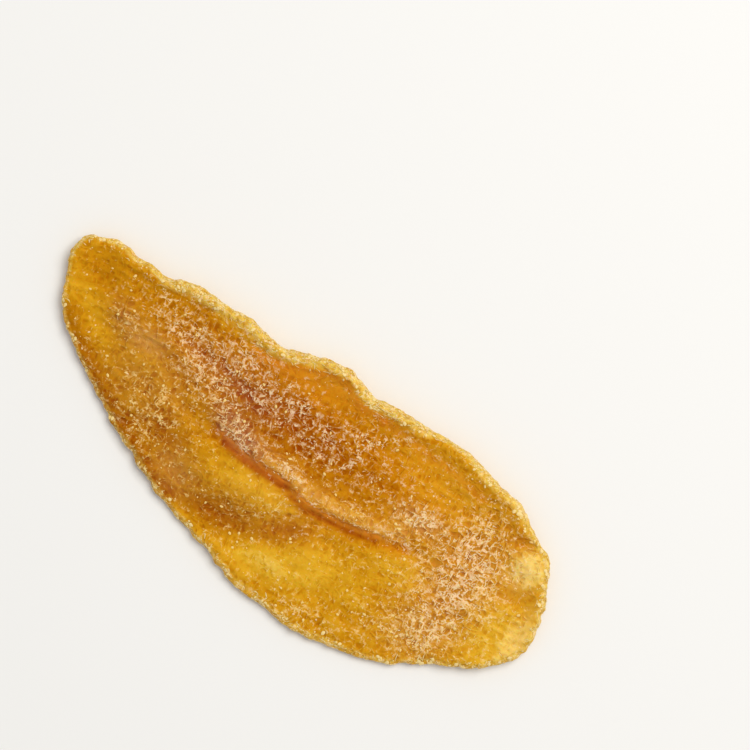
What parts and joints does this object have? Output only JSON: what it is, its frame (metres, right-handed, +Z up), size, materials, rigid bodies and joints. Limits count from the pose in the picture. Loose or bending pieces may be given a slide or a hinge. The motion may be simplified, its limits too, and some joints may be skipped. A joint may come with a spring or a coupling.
{
  "type": "dried mango slice",
  "caption": "Soft dried mango slice lying flat: a thin wavy leaf of flesh with a folded ridge, a raised lip along one edge and a sugary surface.",
  "frame": {"origin": "middle of the underside of the box round the slice, on the surface that it lies on", "axes": "+X along the slice from its narrow tip to its broad end, +Y from its thin edge to its thick lipped edge, +Z up through its thickness"},
  "size_m": [0.1264, 0.0518, 0.0073],
  "materials": {
    "mango_flesh": "soft, faintly glossy dried fruit flesh with fine sugar frost"
  },
  "bodies": {
    "root": {"mango_slice": "mango_flesh"}
  },
  "joints": []
}
